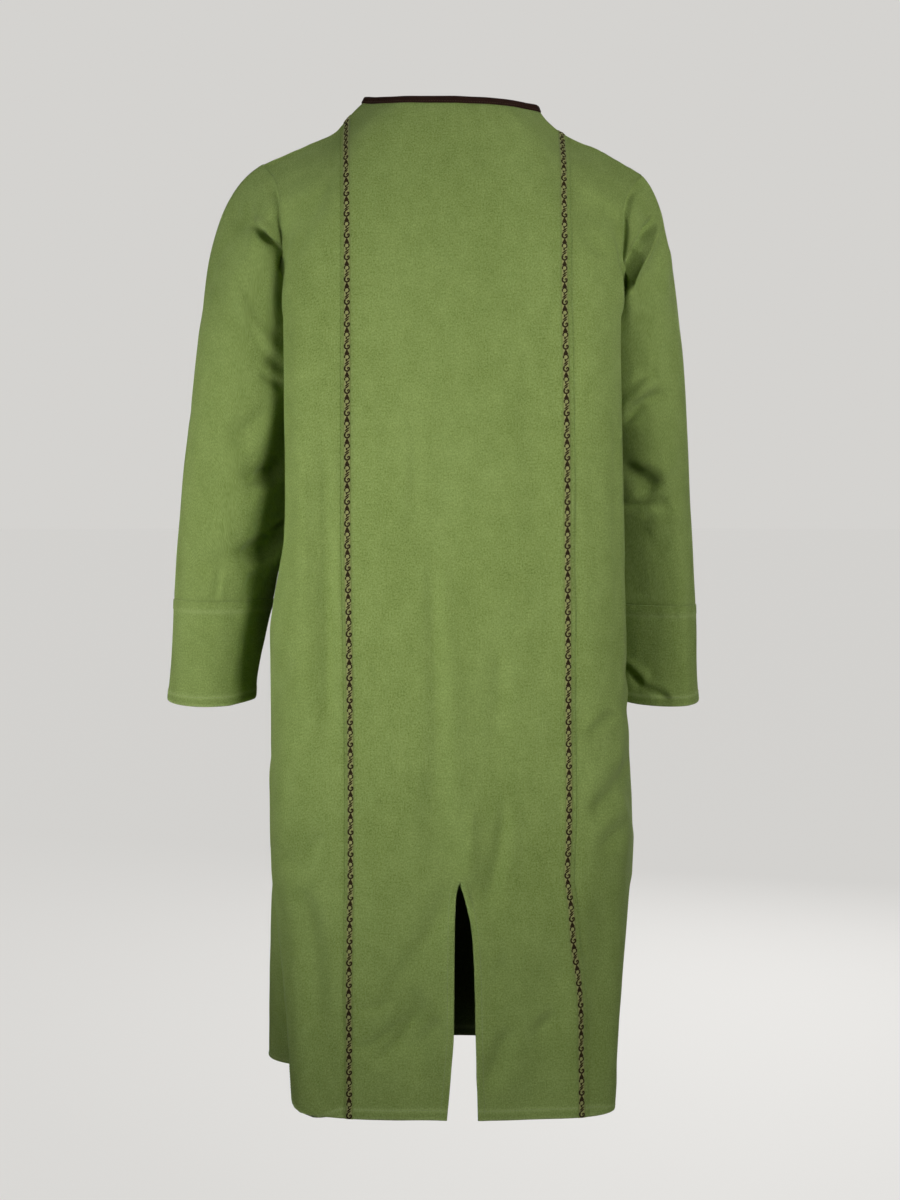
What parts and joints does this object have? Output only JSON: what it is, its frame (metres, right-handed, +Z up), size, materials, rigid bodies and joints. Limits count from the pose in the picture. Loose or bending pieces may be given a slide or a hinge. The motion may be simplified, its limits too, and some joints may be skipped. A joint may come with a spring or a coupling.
{
  "type": "fantasy tunic",
  "caption": "Long cotton tunic held open as worn, with set-in sleeves, deep cuffs, bound neck, scroll braids down its panelled back, and slits at back and sides.",
  "frame": {"origin": "on the shoulder line, midway between the two sides of the neck opening, where the wearer's shoulders hold the tunic", "axes": "+Z up to the neck, front towards -Y, back towards +Y, wearer's left towards +X"},
  "size_m": [0.6569, 0.3191, 1.2015],
  "materials": {
    "moss_cotton": "matt plain weave",
    "brown_binding": "soft folded binding",
    "brown_braid": "woven scroll braid"
  },
  "bodies": {
    "root": {"back_centre": "moss_cotton", "back_side_left": "moss_cotton", "back_side_right": "moss_cotton", "front": "moss_cotton", "sleeve_left": "moss_cotton", "sleeve_right": "moss_cotton", "cuff_left": "moss_cotton", "cuff_right": "moss_cotton", "neck_binding": "brown_binding", "trim_left": "brown_braid", "trim_right": "brown_braid"}
  },
  "joints": []
}
